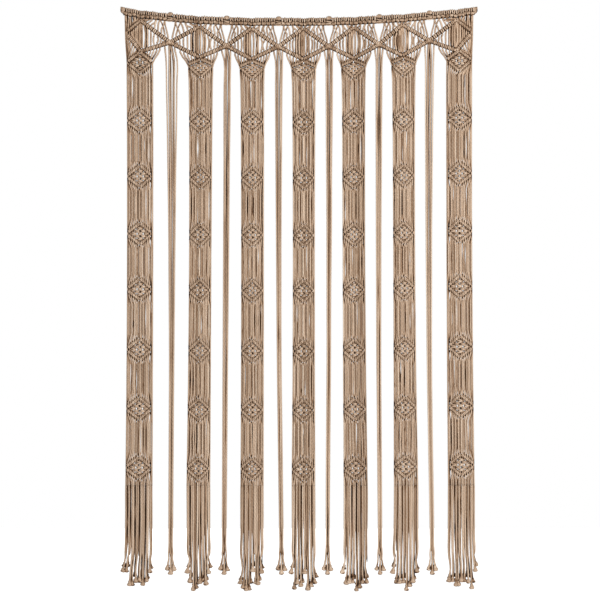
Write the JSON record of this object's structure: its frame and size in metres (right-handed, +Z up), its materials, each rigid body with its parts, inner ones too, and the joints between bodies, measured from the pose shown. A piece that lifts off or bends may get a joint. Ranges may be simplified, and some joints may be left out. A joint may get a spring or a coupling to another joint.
{
  "type": "macrame curtain",
  "caption": "Hanging macrame curtain of twisted cord: a knotted heading and net of crossed slanting rows, columns of diamond knots with loose drops between, and a knotted fringe.",
  "frame": {"origin": "on the heading's upper edge, midway between the two top corners, where the hanging is held up", "axes": "+Z up, +X to the right seen from the front, the curtain faces -Y; the corners stand about 35 mm above the origin and all else hangs below it"},
  "size_m": [1.1206, 0.0235, 1.8124],
  "materials": {
    "cord": "matt warm beige-brown cotton cord, three-ply twist, light on its crowns and dark brown in the gaps of its knots"
  },
  "bodies": {
    "root": {"heading_1": "cord", "net_1": "cord", "column_1": "cord", "fringe_1": "cord", "heading_2": "cord", "net_2": "cord", "column_2": "cord", "fringe_2": "cord", "heading_3": "cord", "net_3": "cord", "column_3": "cord", "fringe_3": "cord", "heading_4": "cord", "net_4": "cord", "column_4": "cord", "fringe_4": "cord", "heading_5": "cord", "net_5": "cord", "column_5": "cord", "fringe_5": "cord", "heading_6": "cord", "net_6": "cord", "column_6": "cord", "fringe_6": "cord", "heading_7": "cord", "net_7": "cord", "column_7": "cord", "fringe_7": "cord", "heading_knot_1": "cord", "drop_1": "cord", "heading_knot_2": "cord", "drop_2": "cord", "heading_knot_3": "cord", "drop_3": "cord", "heading_knot_4": "cord", "drop_4": "cord", "heading_knot_5": "cord", "drop_5": "cord", "heading_knot_6": "cord", "drop_6": "cord", "corner_roll_left": "cord", "corner_roll_right": "cord"}
  },
  "joints": []
}
